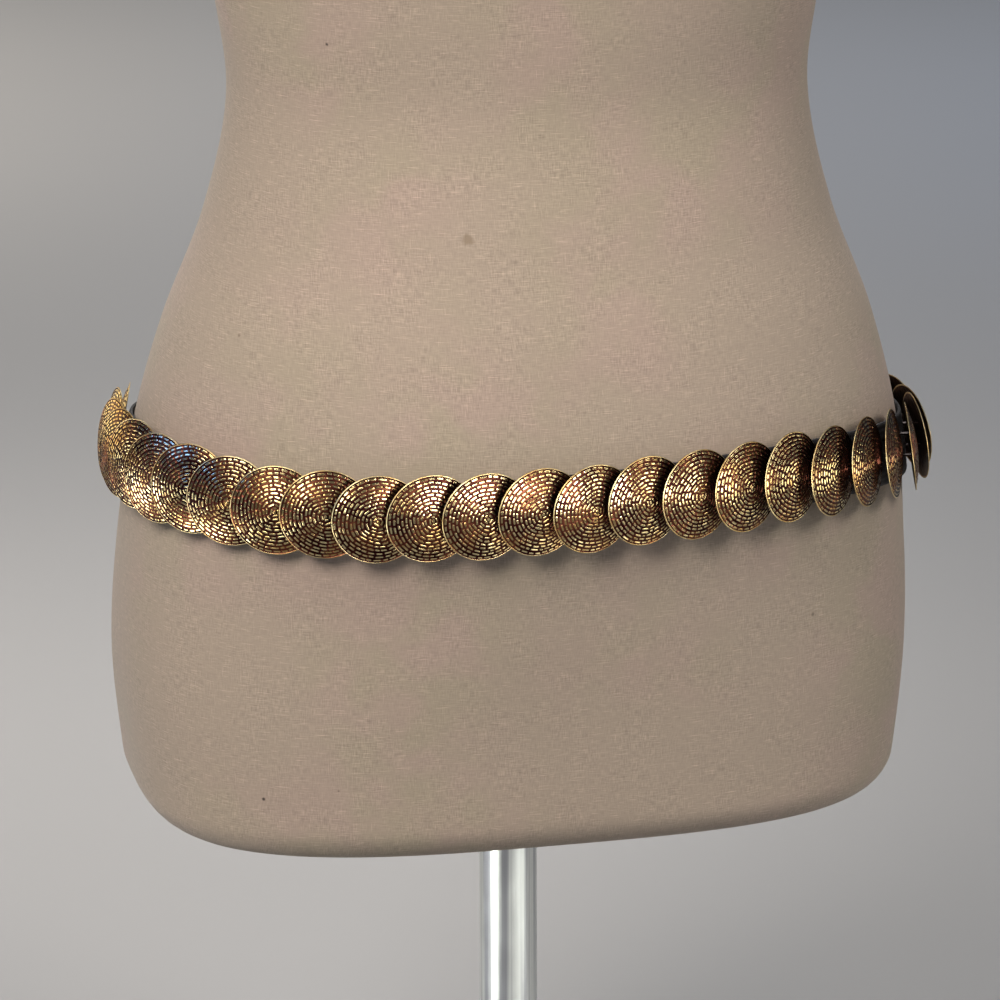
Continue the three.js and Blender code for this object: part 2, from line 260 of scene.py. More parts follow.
def skin_point(angle, height, offset=0.0):
    """Points of the form's skin moved outwards, level, by an offset.

    Angle 0 is the front, and +X follows.
    """
    angle, height, offset = np.broadcast_arrays(angle, height, offset)
    section = section_at(height)
    half_width, power = section["half_width"], section["squareness"]
    depth = np.where(np.cos(angle) > 0, section["front"], section["back"])
    x = half_width * signed_power(np.sin(angle), 2 / power)
    y = -depth * signed_power(np.cos(angle), 2 / power)
    out_x = signed_power(x / half_width, power - 1) / half_width
    out_y = signed_power(y / depth, power - 1) / depth
    length = np.hypot(out_x, out_y)
    return np.stack(
        [
            x + offset * out_x / length,
            y + section["centre_y"] + offset * out_y / length,
            FORM_BOTTOM + height,
        ],
        axis=-1,
    )


def sum_of_waves(table, angle):
    """The sum of a table's waves at an angle."""
    return sum(
        sine * MM * np.sin(waves * angle) + cosine * MM * np.cos(waves * angle)
        for waves, sine, cosine in table
    )


def belt_height(angle):
    """The height of the middle of the band, which isn't quite level."""
    return BELT_HEIGHT + sum_of_waves(BELT_COURSE, angle)


def band_point(angle, share):
    """A point of the band's outer face, at a share of its width above or below its middle."""
    height = belt_height(angle) + share * BAND_WIDTH
    return skin_point(angle, height, BAND_CLEARANCE + BAND_THICKNESS)


def belt_path():
    """Angles round the band's middle, and the arc length at each from the middle of the front."""
    angles = np.linspace(0, 2 * np.pi, PATH_SAMPLES + 1)
    points = band_point(angles, 0.0)
    steps = np.linalg.norm(np.diff(points, axis=0), axis=1)
    return angles, np.concatenate([[0], np.cumsum(steps)])


PATH_ANGLES, PATH_ARCS = belt_path()
BELT_LENGTH = PATH_ARCS[-1]


def angle_at_arc(arc):
    """The angle round the form at an arc length along the band."""
    return np.interp(np.mod(arc, BELT_LENGTH), PATH_ARCS, PATH_ANGLES)


def disc_arc(index):
    """Where the middle of a disc lies along the path: evenly spaced, but for the drift."""
    even = DISC_PHASE + index / DISC_COUNT * BELT_LENGTH
    angle = even / BELT_LENGTH * 2 * np.pi
    return even + sum_of_waves(DISC_DRIFT, angle) - sum_of_waves(DISC_DRIFT, 0.0)


def disc_frame(index):
    """A disc's place, and its right, up and outward axes as the columns of a matrix."""
    angle = angle_at_arc(disc_arc(index))
    up = Vector(band_point(angle, 0.5) - band_point(angle, -0.5)).normalized()
    ahead, behind = band_point(angle + TANGENT_STEP, 0.0), band_point(angle - TANGENT_STEP, 0.0)
    along = Vector(ahead - behind)
    along = (along - along.dot(up) * up).normalized()
    outward = along.cross(up)
    axis = outward * math.cos(DISC_TILT) + along * math.sin(DISC_TILT)
    right = up.cross(axis)
    rise = DISC_RAISE + DISC_WANDER * math.sin(index * WANDER_TURN)
    place = Vector(band_point(angle, 0.0)) + outward * DISC_LIFT + up * rise
    return place, Matrix((right, up, axis)).transposed()


# Mesh helpers

def circle(columns):
    """Evenly spaced angles once round."""
    return np.arange(columns) / columns * 2 * np.pi


def mesh_object(name, points, faces, material, attributes=None, smooth=True):
    """A mesh piece. An attribute holds one number for each point."""
    mesh = bpy.data.meshes.new(name)
    mesh.from_pydata(np.asarray(points).tolist(), [], [tuple(face) for face in faces])
    mesh.polygons.foreach_set("use_smooth", [smooth] * len(mesh.polygons))
    for key, values in (attributes or {}).items():
        layer = mesh.attributes.new(key, "FLOAT", "POINT")
        layer.data.foreach_set("value", np.asarray(values, np.float32))
    mesh.update()
    piece = bpy.data.objects.new(name, mesh)
    bpy.context.scene.collection.objects.link(piece)
    for one in material if isinstance(material, (list, tuple)) else [material]:
        mesh.materials.append(one)
    return piece


def strip(row_a, row_b):
    """Quads between two closed rows of as many points.

    They show the side where the rows run anticlockwise.
    """
    after_a, after_b = row_a[1:] + row_a[:1], row_b[1:] + row_b[:1]
    return list(zip(row_a, row_b, after_b, after_a))


def zipper(inner, inner_angles, outer, outer_angles):
    """Triangles between two closed rows with different counts of points, walked round together."""
    faces = []
    i = j = 0
    turn = 2 * math.pi
    while i < len(inner) or j < len(outer):
        next_inner = inner_angles[(i + 1) % len(inner)] + turn * ((i + 1) // len(inner))
        next_outer = outer_angles[(j + 1) % len(outer)] + turn * ((j + 1) // len(outer))
        here, there = inner[i % len(inner)], outer[j % len(outer)]
        if j == len(outer) or (i < len(inner) and next_inner <= next_outer):
            faces.append((here, there, inner[(i + 1) % len(inner)]))
            i += 1
        else:
            faces.append((here, there, outer[(j + 1) % len(outer)]))
            j += 1
    return faces


def turned(name, profile, columns, material, stretch_x=1.0, place=(0, 0, 0)):
    """A body turned about +Z from (radius, height) pairs, from one end of the axis to the other."""
    angles = circle(columns)
    points, faces, rows = [], [], []
    for radius, height in profile:
        if radius == 0:
            rows.append([len(points)])
            points.append((place[0], place[1], place[2] + height))
            continue
        rows.append(list(range(len(points), len(points) + columns)))
        for angle in angles:
            x = radius * math.cos(angle) * stretch_x
            points.append((place[0] + x, place[1] + radius * math.sin(angle), place[2] + height))
    for row_a, row_b in zip(rows[1:], rows):
        if len(row_a) == len(row_b):
            faces += strip(row_a, row_b)
        else:
            faces += zipper(row_a, angles[: len(row_a)], row_b, angles[: len(row_b)])
    faces = [face for face in faces if len(set(face)) == len(face)]
    return mesh_object(name, points, faces, material)


def rounded(corner_radius, steps, centre, start, end):
    """Points (radius, height) of an arc about a centre, between two angles in degrees."""
    turns = np.radians(np.linspace(start, end, steps + 1))
    radius, height = centre
    return [
        (radius + corner_radius * math.cos(t), height + corner_radius * math.sin(t)) for t in turns
    ]


def cloth_layer(piece, s, t, wrap):
    """Lays cloth coordinates in metres on a piece, and runs them on across the closing seam."""
    mesh = piece.data
    corners = np.zeros(len(mesh.loops), np.int32)
    mesh.loops.foreach_get("vertex_index", corners)
    uv = np.stack([s[corners], t[corners]], axis=1)
    starts = np.zeros(len(mesh.polygons), np.int32)
    counts = np.zeros(len(mesh.polygons), np.int32)
    mesh.polygons.foreach_get("loop_start", starts)
    mesh.polygons.foreach_get("loop_total", counts)
    for k in range(counts.max()):
        corner = np.where(k < counts, starts + k, starts)
        gap = uv[starts, 0] - uv[corner, 0]
        far = np.abs(gap) > wrap / 2
        uv[corner[far], 0] += np.sign(gap[far]) * wrap
    layer = mesh.uv_layers.new(name="cloth")
    layer.data.foreach_set("uv", uv.astype(np.float32).ravel())


# Node helpers

def node(tree, kind, inputs=None, **settings):
    """A node with its settings. An input is a value of its own, or another node's output."""
    made = tree.nodes.new(kind)
    for key, value in settings.items():
        setattr(made, key, value)
    for key, value in (inputs or {}).items():
        if isinstance(value, bpy.types.NodeSocket):
            tree.links.new(value, made.inputs[key])
        else:
            made.inputs[key].default_value = value
    return made


def maths(tree, operation, *values):
    """The result of a Math node."""
    return node(tree, "ShaderNodeMath", dict(enumerate(values)), operation=operation).outputs[0]


def between(tree, value, low, high, to_low=0.0, to_high=1.0):
    """A value eased from one range to another, and held at its ends."""
    inputs = {"Value": value, "From Min": low, "From Max": high}
    inputs |= {"To Min": to_low, "To Max": to_high}
    return node(tree, "ShaderNodeMapRange", inputs, interpolation_type="SMOOTHSTEP").outputs[0]


def mixed(tree, factor, colour_a, colour_b, blend="MIX"):
    """Two colours mixed by a factor. The inputs are named by number: several share a name."""
    made = node(tree, "ShaderNodeMix", data_type="RGBA", blend_type=blend)
    for key, value in ((0, factor), (6, colour_a), (7, colour_b)):
        if isinstance(value, bpy.types.NodeSocket):
            tree.links.new(value, made.inputs[key])
        else:
            made.inputs[key].default_value = (*value, 1) if key else value
    return made.outputs[2]


def noise(tree, vector, scale, detail=2.0, roughness=0.5, stretch=(1, 1, 1)):
    """A noise value with a size in metres: scale is how many features lie in a metre."""
    scales = [scale * s for s in stretch]
    mapped = node(tree, "ShaderNodeMapping", {"Vector": vector, "Scale": scales}).outputs[0]
    inputs = {"Vector": mapped, "Scale": 1.0, "Detail": detail, "Roughness": roughness}
    return node(tree, "ShaderNodeTexNoise", inputs).outputs["Fac"]


def threads(tree, vector, per_metre, detail=1.0, roughness=0.5):
    """A noise value drawn out along one way, from how many features lie in a metre each way."""
    return noise(tree, vector, 1.0, detail, roughness, per_metre)


def bump(tree, height, distance, strength=1.0, normal=None):
    """A normal from a height, over another normal if one is given."""
    inputs = {"Height": height, "Distance": distance, "Strength": strength}
    if normal is not None:
        inputs["Normal"] = normal
    return node(tree, "ShaderNodeBump", inputs).outputs[0]


def attribute(tree, name):
    """A mesh attribute's value."""
    return node(tree, "ShaderNodeAttribute", attribute_name=name).outputs["Fac"]


def new_material(name):
    """A material, its tree and shader, and object coordinates in metres."""
    material = bpy.data.materials.new(name)
    material.use_nodes = True
    tree = material.node_tree
    shader = tree.nodes["Principled BSDF"]
    coordinates = node(tree, "ShaderNodeTexCoord").outputs["Object"]
    return material, tree, shader, coordinates


def connect(tree, shader, **sockets):
    """Links outputs to the shader's sockets of the same names."""
    for key, value in sockets.items():
        tree.links.new(value, shader.inputs[key.replace("_", " ").title()])


def set_all(shader, **values):
    """Sets numbers that are the same all over on the shader's own sockets."""
    for key, value in values.items():
        name = key.replace("_", " ").title().replace("Ior", "IOR")
        shader.inputs[name].default_value = value


# Materials. Noise scales are features in a metre, and colours are linear.

LINEN_MID = (0.450, 0.360, 0.280)
LINEN_OLIVE = (0.440, 0.362, 0.268)
LINEN_PINK = (0.470, 0.358, 0.290)
CLOTH_STAINS = (
    # place on the skin and radius in millimetres, colour, and how far it replaces the cloth's own
    ((-42.0, -116.0, 537.9), 3.6, (0.25, 0.18, 0.11), 0.55),
    ((-124.8, -92.3, 298.7), 1.2, (0.05, 0.035, 0.03), 0.95),
    ((-95.6, -104.5, 304.0), 0.9, (0.08, 0.05, 0.04), 0.8),
    ((-93.0, -89.2, 614.8), 1.0, (0.05, 0.035, 0.03), 0.95),
    ((-128.7, -77.1, 493.6), 1.3, (0.16, 0.11, 0.08), 0.6),
    ((106.4, -107.6, 366.2), 1.3, (0.12, 0.09, 0.07), 0.6),
    ((111.0, -87.1, 270.7), 1.6, (0.14, 0.10, 0.07), 0.6),
)
STAIN_WOBBLE = 0.9 * MM
STAIN_OUTER = 1.35 * MM
STAIN_INNER = 0.75 * MM


def linen():
    """Plain beige linen: level and upright threads, slubs, faint blotches and small marks."""
    material, tree, shader, place = new_material("linen_cover")
    cloth = node(tree, "ShaderNodeUVMap", uv_map="cloth").outputs[0]
    level = threads(tree, cloth, (230, 2300, 1))
    upright = threads(tree, cloth, (2300, 260, 1))
    slub = between(tree, threads(tree, cloth, (120, 2600, 1)), 0.62, 0.74)
    upright_slub = between(tree, threads(tree, cloth, (2600, 150, 1)), 0.64, 0.76)
    knot = between(tree, threads(tree, cloth, (900, 1500, 1)), 0.66, 0.78)
    patches = between(tree, noise(tree, cloth, 50, 2.0), 0.35, 0.65, 0.35, 1.0)
    hue = noise(tree, place, 24, 2.0, 0.55)
    shade = noise(tree, place, 11, 2.0)

    colour = mixed(tree, between(tree, hue, 0.40, 0.60), LINEN_OLIVE, LINEN_PINK)
    colour = mixed(tree, between(tree, shade, 0.35, 0.65), colour, LINEN_MID)
    weave = maths(tree, "ADD", level, maths(tree, "SUBTRACT", upright, 1.0))
    weave = maths(tree, "MULTIPLY", weave, patches)
    lightness = 1.0
    for thread, weight in ((weave, 0.66), (slub, 0.34), (upright_slub, 0.22), (knot, -0.16)):
        lightness = maths(tree, "MULTIPLY_ADD", thread, weight, lightness)
    channels = {0: lightness, 1: lightness, 2: lightness}
    tone = node(tree, "ShaderNodeCombineColor", channels).outputs[0]
    colour = mixed(tree, 1.0, colour, tone, "MULTIPLY")
    wobble = noise(tree, place, 420, 2.0)
    for centre, radius, stain, strength in CLOTH_STAINS:
        ends = {0: place, 1: [c * MM for c in centre]}
        away = node(tree, "ShaderNodeVectorMath", ends, operation="DISTANCE").outputs["Value"]
        uneven = maths(tree, "MULTIPLY_ADD", wobble, radius * STAIN_WOBBLE, away)
        mark = between(tree, uneven, radius * STAIN_OUTER, radius * STAIN_INNER, 0.0, strength)
        colour = mixed(tree, mark, colour, stain)

    height = maths(tree, "ADD", level, upright)
    height = maths(tree, "ADD", height, maths(tree, "MULTIPLY", slub, 0.6))
    connect(tree, shader, base_color=colour, normal=bump(tree, height, 0.10 * MM, 0.5))
    set_all(shader, roughness=0.93, sheen_weight=0.18, sheen_roughness=0.5, specular_ior_level=0.25)
    return material


ELASTIC_BLACK = (0.010, 0.009, 0.012)
ELASTIC_GREY = (0.034, 0.031, 0.036)


def elastic():
    """Black ribbed stretch band: fine crossing yarns over the ribs of the mesh."""
    material, tree, shader, place = new_material("black_elastic")
    cloth = node(tree, "ShaderNodeUVMap", uv_map="cloth").outputs[0]
    along = node(tree, "ShaderNodeSeparateXYZ", {0: cloth}).outputs[0]
    yarn = maths(tree, "SINE", maths(tree, "MULTIPLY", along, 2 * math.pi / YARN_PITCH))
    fuzz = noise(tree, place, 2200, 3.0)
    colour = mixed(tree, between(tree, fuzz, 0.4, 0.7), ELASTIC_BLACK, ELASTIC_GREY)
    height = maths(tree, "MULTIPLY_ADD", yarn, 0.5, fuzz)
    connect(tree, shader, base_color=colour, normal=bump(tree, height, 0.12 * MM, 0.6))
    set_all(shader, roughness=0.82, sheen_weight=0.12)
    return material


GOLD_PALE = (0.64, 0.53, 0.30)
GOLD_WARM = (0.46, 0.30, 0.12)
PATINA_DARK = (0.020, 0.004, 0.004)
PATINA_BROWN = (0.095, 0.030, 0.018)


def antique_gold():
    """Antiqued gold tone: polished raised dashes over dark reddish-brown recesses, worn unevenly.

    The mesh's relief is the wear: 0 in the recesses, 1 on the dashes, and more on the rim.
    """
    material, tree, shader, place = new_material("antique_gold")
    relief = attribute(tree, "relief")
    tarnish = noise(tree, place, 110, 3.0, 0.6)
    speck = noise(tree, place, 1100, 2.0, 0.6)
    uneven = maths(tree, "MULTIPLY_ADD", speck, 0.35, relief)
    uneven = maths(tree, "MULTIPLY_ADD", tarnish, 0.35, uneven)
    worn = between(tree, uneven, 0.80, 1.16)
    recess = mixed(tree, between(tree, tarnish, 0.35, 0.7), PATINA_DARK, PATINA_BROWN)
    metal = mixed(tree, between(tree, tarnish, 0.35, 0.65), GOLD_PALE, GOLD_WARM)
    colour = mixed(tree, worn, recess, metal)
    rough = maths(tree, "MULTIPLY_ADD", speck, 0.10, 0.30)
    rough = maths(tree, "MULTIPLY_ADD", worn, -0.16, rough)
    rough = maths(tree, "ADD", rough, between(tree, relief, 1.1, 1.25, 0.0, 0.22))
    surface = bump(tree, speck, 0.05 * MM, 0.5)
    connect(tree, shader, base_color=colour, roughness=rough, normal=surface)
    set_all(shader, metallic=1.0)
    return material


BACK_BROWN = (0.17, 0.095, 0.055)
BACK_DARK = (0.07, 0.034, 0.024)


def disc_back():
    """The discs' backs: dark brown metal, dimpled by the stamping of the front, finely scuffed."""
    material, tree, shader, place = new_material("plain_gold_back")
    tarnish = noise(tree, place, 90, 4.0, 0.6)
    dimples = noise(tree, place, 620, 1.0, 0.4)
    scuff = threads(tree, place, (260, 260, 2400), 2.0, 0.6)
    colour = mixed(tree, between(tree, tarnish, 0.3, 0.7), BACK_BROWN, BACK_DARK)
    rough = maths(tree, "MULTIPLY_ADD", scuff, 0.25, 0.26)
    hammered = bump(tree, dimples, 0.35 * MM, 0.8)
    surface = bump(tree, scuff, 0.02 * MM, 0.3, hammered)
    connect(tree, shader, base_color=colour, roughness=rough, normal=surface)
    set_all(shader, metallic=1.0)
    return material


STEEL_DULL = (0.42, 0.42, 0.44)
STEEL_BRIGHT = (0.66, 0.66, 0.67)
# Painted shade for the legs, which stand in the dark gap between disc and band
STEEL_LEG_PAINTED_SHADE = (0.030, 0.020, 0.018)


def prong_steel():
    """Steel prongs: bare and bright where clinched, and near black along the leg as painted shade.
    """
    material, tree, shader, place = new_material("prong_steel")
    clinch = attribute(tree, "clinch")
    scuff = noise(tree, place, 1200, 3.0, 0.6)
    # Off the clinch, along the leg, the colour is a painted shade
    colour = mixed(tree, clinch, STEEL_LEG_PAINTED_SHADE, mixed(tree, scuff, STEEL_DULL, STEEL_BRIGHT))
    connect(tree, shader, base_color=colour, roughness=between(tree, scuff, 0.3, 0.7, 0.22, 0.40))
    set_all(shader, metallic=1.0)
    return material


# Colours of the painted reflection streaks on the chrome
CHROME_DARK_STREAK_PAINTED = (0.40, 0.41, 0.45)
CHROME_PALE_STREAK_PAINTED = (0.72, 0.75, 0.74)


def chrome():
    """Brushed chrome: upright draw lines, smudges, and pale and dark streaks of painted reflection.
    """
    material, tree, shader, place = new_material("chrome")
    lines = threads(tree, place, (900, 900, 9), 2.0)
    painted_reflection_streaks = threads(tree, place, (300, 300, 2.5), 2.0, 0.6)
    smudge = noise(tree, place, 28, 3.0, 0.6)
    # Painted reflection: upright pale and bluish dark streaks stand for the mirrored room
    colour = mixed(tree, between(tree, painted_reflection_streaks, 0.38, 0.58), CHROME_DARK_STREAK_PAINTED, CHROME_PALE_STREAK_PAINTED)
    rough = between(tree, smudge, 0.35, 0.75, 0.24, 0.36)
    rough = maths(tree, "ADD", rough, maths(tree, "MULTIPLY", lines, 0.12))
    surface = bump(tree, lines, 0.03 * MM, 0.35)
    connect(tree, shader, base_color=colour, roughness=rough, normal=surface)
    set_all(shader, metallic=1.0)
    return material


COAT_CHARCOAL = (0.040, 0.041, 0.044)
COAT_DUST = (0.10, 0.098, 0.095)


def base_paint():
    """Charcoal powder coat with a fine orange-peel skin and dust."""
    material, tree, shader, place = new_material("base_powder_coat")
    peel = noise(tree, place, 700, 2.0, 0.4)
    dust = noise(tree, place, 26, 5.0, 0.7)
    colour = mixed(tree, between(tree, dust, 0.5, 0.8, 0.0, 0.6), COAT_CHARCOAL, COAT_DUST)
    rough = between(tree, dust, 0.3, 0.8, 0.38, 0.62)
    surface = bump(tree, peel, 0.08 * MM, 0.5)
    connect(tree, shader, base_color=colour, roughness=rough, normal=surface)
    return material


WOOD_LIGHT = (0.30, 0.165, 0.080)
WOOD_DARK = (0.145, 0.068, 0.030)
WOOD_PORE = (0.07, 0.032, 0.015)


def varnished_wood():
    """Turned hardwood under a satin varnish, its grain running across the cap."""
    material, tree, shader, place = new_material("varnished_wood")
    wander = noise(tree, place, 12, 3.0, 0.5)
    rings = threads(tree, place, (16, 420, 420), 3.0)
    pores = threads(tree, place, (120, 2600, 2600), 2.0, 0.6)
    grain = maths(tree, "MULTIPLY_ADD", wander, 0.6, maths(tree, "MULTIPLY", rings, 0.7))
    colour = mixed(tree, between(tree, grain, 0.45, 0.85), WOOD_LIGHT, WOOD_DARK)
    colour = mixed(tree, between(tree, pores, 0.58, 0.72, 0.0, 0.6), colour, WOOD_PORE)
    connect(tree, shader, base_color=colour, normal=bump(tree, pores, 0.05 * MM, 0.35))
    set_all(shader, roughness=0.36, coat_weight=0.35, coat_roughness=0.22)
    return material


FLOOR_DARK = (0.46, 0.457, 0.455)
FLOOR_PALE = (0.50, 0.497, 0.493)


def floor_finish():
    """Matte pale grey, very slightly clouded."""
    material, tree, shader, place = new_material("floor_matte")
    colour = mixed(tree, noise(tree, place, 0.8, 2.0), FLOOR_DARK, FLOOR_PALE)
    connect(tree, shader, base_color=colour)
    set_all(shader, roughness=0.95, specular_ior_level=0.1)
    return material


# Form and band

def even_ring(height, inset):
    """A level ring of the skin with evenly spaced points, and each point's arc from the front."""
    angles = np.linspace(-np.pi, np.pi, RING_SAMPLES)
    fine = skin_point(angles, height, -inset)
    arcs = np.concatenate([[0], np.cumsum(np.linalg.norm(np.diff(fine, axis=0), axis=1))])
    wanted = np.arange(FORM_COLUMNS) / FORM_COLUMNS * arcs[-1]
    ring = skin_point(np.interp(wanted, arcs, angles), height, -inset)
    return ring, wanted - arcs[-1] / 2


def skin_unevenness(points):
    """Slight lumps of the padding under the cover, about a hand's breadth apart.

    Each divisor is a wave's length in millimetres over two pi.
    """
    x, y, z = points.T / MM
    lumps = (
        np.sin(x / 17 + 1.3 * np.sin(z / 41)) * np.sin(z / 23 + 0.7)
        + np.sin(y / 13 + z / 31) * np.sin(z / 14 - x / 29)
    )
    return LUMP_HEIGHT * lumps


def skin_rows():
    """The heights of the skin's rings, and how far each lies inwards at the rounded lower edge."""
    rows = []
    for step in range(FORM_EDGE_STEPS + 1):
        turn = (1 - step / FORM_EDGE_STEPS) * math.pi / 2
        height, inset = 1 - math.sin(turn), 1 - math.cos(turn)
        rows.append((FORM_EDGE_RADIUS * height, FORM_EDGE_RADIUS * inset))
    rise = FORM_SECTIONS[-1][0] * MM - FORM_EDGE_RADIUS
    count = round(rise / FORM_ROW_PITCH)
    return rows + [(FORM_EDGE_RADIUS + rise * i / count, 0.0) for i in range(1, count + 1)]


def form_cover(material):
    """The linen-covered form: a closed skin with a rounded lower edge and the pole's socket."""
    points, arcs, travel = [], [], []
    run = 0.0
    for height, inset in skin_rows():
        ring, arc = even_ring(height, inset)
        if inset == 0:
            out = ring - ring.mean(axis=0)
            out /= np.linalg.norm(out, axis=1)[:, None]
            ring += out * skin_unevenness(ring)[:, None]
        if points:
            middle = FORM_COLUMNS // 2
            run += np.linalg.norm(ring[middle] - points[-1][middle])
        points.append(ring)
        arcs.append(arc)
        travel.append(run)

    centre_angles = np.arctan2(points[0][:, 1], points[0][:, 0])
    hole = np.full((FORM_COLUMNS, 3), FORM_BOTTOM)
    hole[:, 0] = SOCKET_RADIUS * np.cos(centre_angles)
    hole[:, 1] = SOCKET_RADIUS * np.sin(centre_angles)
    roof = hole.copy()
    roof[:, 2] += SOCKET_DEPTH
    under = [points[0] * (1 - share) + hole * share for share in UNDERSIDE_SHARES]
    crown = points[-1].mean(axis=0)
    closing = [crown + (points[-1] - crown) * share for share in CROWN_SHARES]
    rings = [roof] + under + points + closing
    ring_arcs = [arcs[0]] * (1 + len(under)) + arcs + [arcs[-1]] * len(closing)
    ring_travel = [*UNDERSIDE_RUN[1:], *travel, *(run + more for more in CROWN_RUN[:-1])]

    flat_points = np.concatenate(rings + [[(0, 0, FORM_BOTTOM + SOCKET_DEPTH)], [crown]])
    faces = []
    for row in range(len(rings) - 1):
        row_a = list(range(row * FORM_COLUMNS, (row + 1) * FORM_COLUMNS))
        row_b = [index + FORM_COLUMNS for index in row_a]
        faces += strip(row_b, row_a)
    roof_centre, crown_centre = len(flat_points) - 2, len(flat_points) - 1
    last = (len(rings) - 1) * FORM_COLUMNS
    for i in range(FORM_COLUMNS):
        j = (i + 1) % FORM_COLUMNS
        faces.append((roof_centre, j, i))
        faces.append((crown_centre, last + i, last + j))
    piece = mesh_object("linen_form", flat_points, faces, material)

    s = np.concatenate(ring_arcs + [[0.0, 0.0]])
    centres = [UNDERSIDE_RUN[0], run + CROWN_RUN[-1]]
    t = np.concatenate([np.repeat(ring_travel, FORM_COLUMNS), centres])
    cloth_layer(piece, s, t, max(arc[-1] - arc[0] for arc in arcs) * CLOTH_WRAP)
    return piece


def stretch_band(material):
    """The elastic band: a ribbed closed hoop, its ends lapped and sewn at the middle of the back."""
    arcs = np.arange(BAND_STATIONS) / BAND_STATIONS * BELT_LENGTH
    angles = angle_at_arc(arcs)
    shares = np.linspace(-0.5, 0.5, BAND_RIBS * BAND_RIB_STEPS + 1)
    ribs = BAND_RIB_DEPTH * (0.5 - 0.5 * np.cos(2 * np.pi * BAND_RIBS * (shares + 0.5)))
    outer = BAND_CLEARANCE + BAND_THICKNESS - BAND_RIB_DEPTH + ribs
    inner = BAND_CLEARANCE + BAND_RIB_DEPTH - ribs
    from_seam = np.abs(arcs - BELT_LENGTH / 2)
    lap = LAP_RISE * np.clip((LAP_LENGTH / 2 - from_seam) / LAP_EASE, 0, 1)
    profile_share = np.concatenate([shares, shares[::-1]])
    profile_offset = np.concatenate([outer, inner[::-1]])
    is_outer = np.concatenate([np.ones(len(shares)), np.zeros(len(shares))])
    heights = belt_height(angles)[:, None] + profile_share[None, :] * BAND_WIDTH
    offsets = profile_offset[None, :] + lap[:, None] * is_outer[None, :]
    points = skin_point(angles[:, None], heights, offsets).reshape(-1, 3)
    width = len(profile_share)
    faces = []
    for station in range(BAND_STATIONS):
        row_a = list(range(station * width, (station + 1) * width))
        row_b = [(index + width) % (BAND_STATIONS * width) for index in row_a]
        faces += strip(row_a, row_b)
    piece = mesh_object("elastic_band", points, faces, material)
    s = np.repeat(arcs, width)
    t = np.tile(profile_share * BAND_WIDTH + is_outer * BAND_WIDTH, BAND_STATIONS)
    cloth_layer(piece, s, t, BELT_LENGTH)
    return piece


# Discs

def dome(radius, sheet=0.0):
    """The dome's height above the plane of its rim, or of its inside, under a sheet's thickness."""
    sphere = (DISC_RADIUS**2 + DISC_RISE**2) / (2 * DISC_RISE)
    return np.sqrt((sphere - sheet) ** 2 - radius**2) - (sphere - DISC_RISE)


def dash_ring(rng, number):
    """One stamped ring of dashes: for each column its radius, angle, rise, lean and wear."""
    pitch = (RING_END - RING_START) / RING_COUNT
    radius = RING_START + (number + 0.5) * pitch
    count = max(DASH_LEAST_COUNT, round(2 * math.pi * radius / DASH_CELL))

    def vary(limit):
        return rng.uniform(-limit, limit, count)

    borders = (np.arange(count) + vary(DASH_BORDER_JITTER)) / count
    borders += rng.uniform(0, 1 / count)
    widths = np.diff(np.append(borders, borders[0] + 1))
    rises = rng.uniform(*DASH_RISES, count)
    slopes = vary(DASH_SLOPE)
    leans = np.repeat(vary(DASH_LEAN), len(DASH_STEPS))
    shifts = np.repeat(vary(DASH_SHIFT) * pitch, len(DASH_STEPS))

    turns = (borders[:, None] + widths[:, None] * DASH_STEPS[None, :]).ravel()
    angles = 2 * np.pi * turns % (2 * np.pi)
    lifts = (rises[:, None] * (1 + slopes[:, None] * (DASH_STEPS - 0.5)) * DASH_ALONG).ravel()
    sway = RING_SWAY * pitch * math.sin(math.pi * number / (RING_COUNT - 1))
    wave = sum(share * np.sin(waves * angles + phase) for waves, phase, share in SWAY_WAVES)
    radii = radius + shifts + sway * wave / sum(share for _, _, share in SWAY_WAVES)
    order = np.argsort(angles)
    wear = np.tile(WEAR_ALONG, count)
    return radii[order], pitch, angles[order], lifts[order], leans[order], wear[order]


